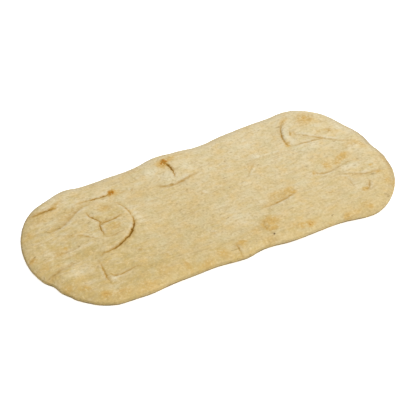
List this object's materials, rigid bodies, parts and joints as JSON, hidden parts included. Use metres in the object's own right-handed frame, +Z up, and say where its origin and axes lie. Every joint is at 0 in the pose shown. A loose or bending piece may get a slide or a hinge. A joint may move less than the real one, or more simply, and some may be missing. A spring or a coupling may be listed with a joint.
{
  "type": "oval flatbread",
  "caption": "Long oval flatbread baked in one piece, with a rounded rim, low blisters and pinched creases on top and a flat underside.",
  "frame": {"origin": "centre of the bread's plan, on the flat underside", "axes": "+X along the bread's length, +Y across it, +Z up out of the browned top"},
  "size_m": [0.305, 0.1424, 0.0112],
  "materials": {
    "crust": "matte, pale baked crust"
  },
  "bodies": {
    "root": {"flatbread": "crust"}
  },
  "joints": []
}
